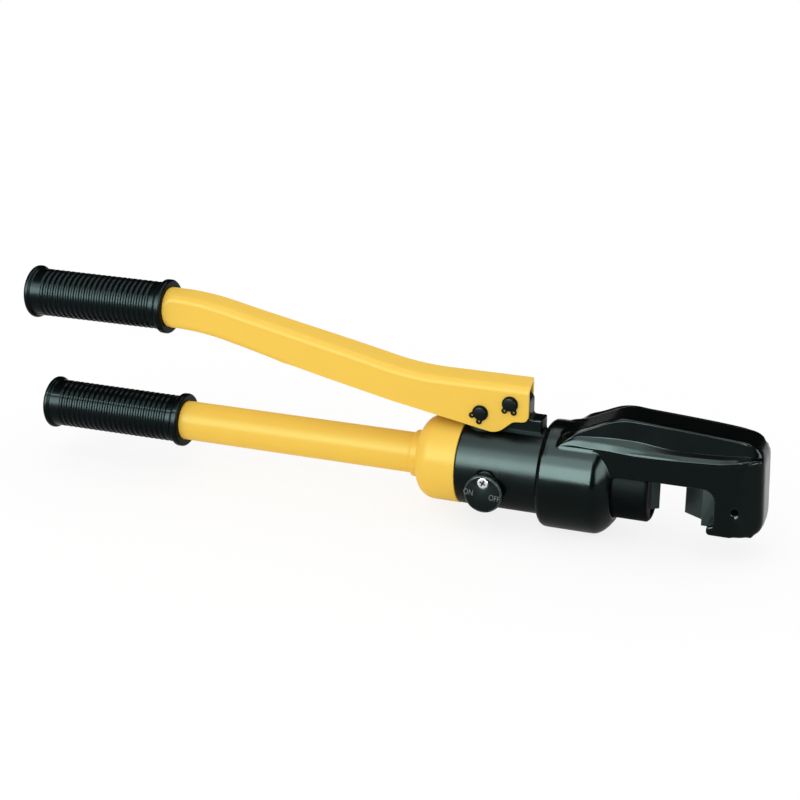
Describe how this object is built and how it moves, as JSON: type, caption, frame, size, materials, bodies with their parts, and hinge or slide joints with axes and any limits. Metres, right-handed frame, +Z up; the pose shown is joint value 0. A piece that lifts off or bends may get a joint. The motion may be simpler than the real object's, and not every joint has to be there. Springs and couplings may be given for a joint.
{
  "type": "hydraulic rebar cutter",
  "caption": "Hand pumped hydraulic rebar cutter with a fixed reservoir handle, a pivoting pump lever, a release knob and a C shaped jaw head with a sliding blade.",
  "frame": {"origin": "middle of the fixed grip, on the tool axis", "axes": "+X along the tool axis towards the jaws, +Y across the tool away from the release knob, +Z up to the pump lever"},
  "size_m": [0.6073, 0.0828, 0.1598],
  "materials": {
    "yellow_paint": "satin",
    "black_paint": "satin",
    "dark_steel": "satin",
    "grip_rubber": "semi-gloss",
    "zinc_steel": "bright",
    "plain_steel": "satin",
    "seal_rubber": "matte",
    "filter_brass": "satin",
    "plain_aluminium": "satin"
  },
  "bodies": {
    "frame": {"handle_tube": "yellow_paint", "handle_grip": "grip_rubber", "handle_end_plug": "plain_aluminium", "oil_bladder": "seal_rubber", "bladder_clamp": "plain_aluminium", "suction_filter": "filter_brass", "reservoir_collar": "yellow_paint", "pump_body": "black_paint", "spigot_seal": "seal_rubber", "plunger_seal": "seal_rubber", "plunger_gland": "dark_steel", "suction_seat": "plain_steel", "suction_spring": "plain_steel", "suction_stop": "plain_steel", "discharge_spring": "plain_steel", "discharge_plug": "plain_steel", "relief_spring": "plain_steel", "relief_screw": "dark_steel", "stem_seal": "seal_rubber", "stem_gland": "dark_steel", "head_frame": "black_paint", "spring_rod": "plain_steel", "return_spring": "plain_steel", "fixed_blade": "dark_steel", "fixed_blade_screw": "dark_steel"},
    "pump_lever": {"lever": "yellow_paint", "lever_grip": "grip_rubber", "pivot_pin": "dark_steel", "drive_pin": "dark_steel", "pin_circlips": "dark_steel", "pivot_washers": "dark_steel"},
    "plunger": {"pump_plunger": "dark_steel"},
    "ram": {"ram": "dark_steel", "piston_seal": "seal_rubber", "piston_guide_ring": "plain_steel", "spring_retainer": "plain_steel", "moving_blade": "dark_steel", "moving_blade_screw": "dark_steel"},
    "release_valve": {"valve_stem": "plain_steel", "release_knob": "black_paint", "knob_screw": "zinc_steel"},
    "suction_valve": {"suction_poppet": "plain_steel"},
    "discharge_valve": {"discharge_poppet": "plain_steel"},
    "relief_valve": {"relief_poppet": "plain_steel"}
  },
  "joints": [
    {"name": "lever_hinge", "type": "hinge", "parent": "frame", "child": "pump_lever", "pos_m": [0.3429, 0, 0.0568], "axis": [0, 1, 0], "range_deg": [0, 50]},
    {"name": "plunger_slide", "type": "slide", "parent": "frame", "child": "plunger", "axis": [0, 0, 1], "range_m": [0, 0.0214]},
    {"name": "ram_slide", "type": "slide", "parent": "frame", "child": "ram", "axis": [1, 0, 0], "range_m": [0, 0.0186], "stiffness_N_per_m": 4000, "springref_m": -0.01, "deforming": ["return_spring"]},
    {"name": "knob_turn", "type": "hinge", "parent": "frame", "child": "release_valve", "pos_m": [0.3299, -0.0336, 0], "axis": [0, 1, 0], "range_deg": [-45, 45]},
    {"name": "suction_lift", "type": "slide", "parent": "frame", "child": "suction_valve", "axis": [1, 0, 0], "range_m": [0, 0.0008], "stiffness_N_per_m": 50, "springref_m": -0.002, "deforming": ["suction_spring"]},
    {"name": "discharge_lift", "type": "slide", "parent": "frame", "child": "discharge_valve", "axis": [1, 0, 0], "range_m": [0, 0.0008], "stiffness_N_per_m": 50, "springref_m": -0.002, "deforming": ["discharge_spring"]},
    {"name": "relief_lift", "type": "slide", "parent": "frame", "child": "relief_valve", "axis": [0, 1, 0], "range_m": [0, 0.0008], "stiffness_N_per_m": 50, "springref_m": -0.002, "deforming": ["relief_spring"]}
  ],
  "couplings": [
    {"joint": "plunger_slide", "follows": "lever_hinge", "m_per_rad": 0.02441}
  ]
}
